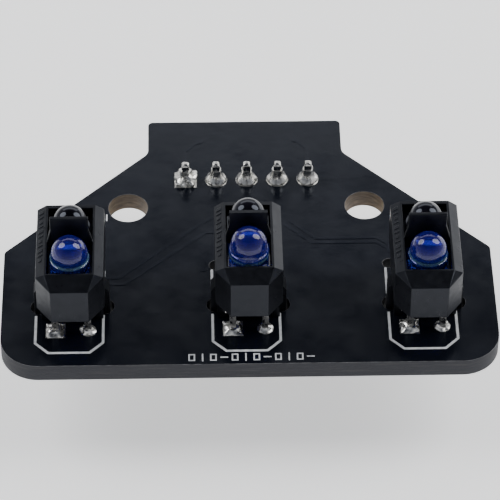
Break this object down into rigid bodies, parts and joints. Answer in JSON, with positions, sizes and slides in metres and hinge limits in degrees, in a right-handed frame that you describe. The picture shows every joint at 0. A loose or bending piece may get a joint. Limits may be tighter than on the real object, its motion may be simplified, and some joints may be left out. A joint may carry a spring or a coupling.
{
  "type": "line tracking sensor board",
  "caption": "Line-tracking sensor board: shaped circuit board with a row of reflective infrared sensors on top and a shrouded connector with the comparator circuit underneath.",
  "frame": {"origin": "midway between the two mounting holes, on the underside of the circuit board", "axes": "+Z out of the sensor face of the board, +X along the row of sensors, +Y away from the sensor edge towards the connector tab"},
  "size_m": [0.039, 0.0276, 0.0176],
  "materials": {
    "board_laminate": "semi-gloss near-black solder mask over glass-epoxy laminate",
    "masked_copper": "copper track under near-black solder mask",
    "legend_ink": "matt white print",
    "tinned_copper": "tinned copper land",
    "solder": "bright solder with slight graining",
    "lead_metal": "tinned steel lead frame",
    "pin_metal": "tinned square post",
    "housing_plastic": "matt black moulded thermoplastic",
    "blue_epoxy": "clear deep blue cast epoxy",
    "dark_epoxy": "glossy visible-light-blocking cast epoxy",
    "silicon": "polished semiconductor die",
    "shroud_nylon": "natural ivory nylon",
    "chip_epoxy": "matt black moulding compound",
    "resistor_glaze": "black overglaze on a ceramic chip",
    "capacitor_ceramic": "tan sintered ceramic",
    "indicator_base": "white chip carrier",
    "clear_resin": "clear cast resin"
  },
  "bodies": {
    "root": {"board": "board_laminate", "bottom_legend": "legend_ink", "bottom_tracks": "masked_copper", "bulk_capacitor": "capacitor_ceramic", "centre_detector": "dark_epoxy", "centre_detector_die": "silicon", "centre_detector_leads": "lead_metal", "centre_emitter": "blue_epoxy", "centre_emitter_die": "silicon", "centre_emitter_leads": "lead_metal", "centre_indicator": "indicator_base", "centre_sensor_housing": "housing_plastic", "centre_sensor_solder": "solder", "chip_end_caps": "solder", "chip_solder": "solder", "comparator_body": "chip_epoxy", "comparator_leads": "lead_metal", "comparator_solder": "solder", "connector_pin_1": "pin_metal", "connector_pin_2": "pin_metal", "connector_pin_3": "pin_metal", "connector_pin_4": "pin_metal", "connector_pin_5": "pin_metal", "connector_plating": "tinned_copper", "connector_shroud": "shroud_nylon", "connector_solder": "solder", "decoupling_capacitor": "capacitor_ceramic", "emitter_resistors": "resistor_glaze", "indicator_lenses": "clear_resin", "indicator_resistors": "resistor_glaze", "left_detector": "dark_epoxy", "left_detector_die": "silicon", "left_detector_leads": "lead_metal", "left_emitter": "blue_epoxy", "left_emitter_die": "silicon", "left_emitter_leads": "lead_metal", "left_indicator": "indicator_base", "left_sensor_housing": "housing_plastic", "left_sensor_solder": "solder", "load_resistors": "resistor_glaze", "reference_resistors": "resistor_glaze", "right_detector": "dark_epoxy", "right_detector_die": "silicon", "right_detector_leads": "lead_metal", "right_emitter": "blue_epoxy", "right_emitter_die": "silicon", "right_emitter_leads": "lead_metal", "right_indicator": "indicator_base", "right_sensor_housing": "housing_plastic", "right_sensor_solder": "solder", "sensor_plating": "tinned_copper", "surface_lands": "tinned_copper", "top_legend": "legend_ink", "top_tracks": "masked_copper"}
  },
  "joints": []
}
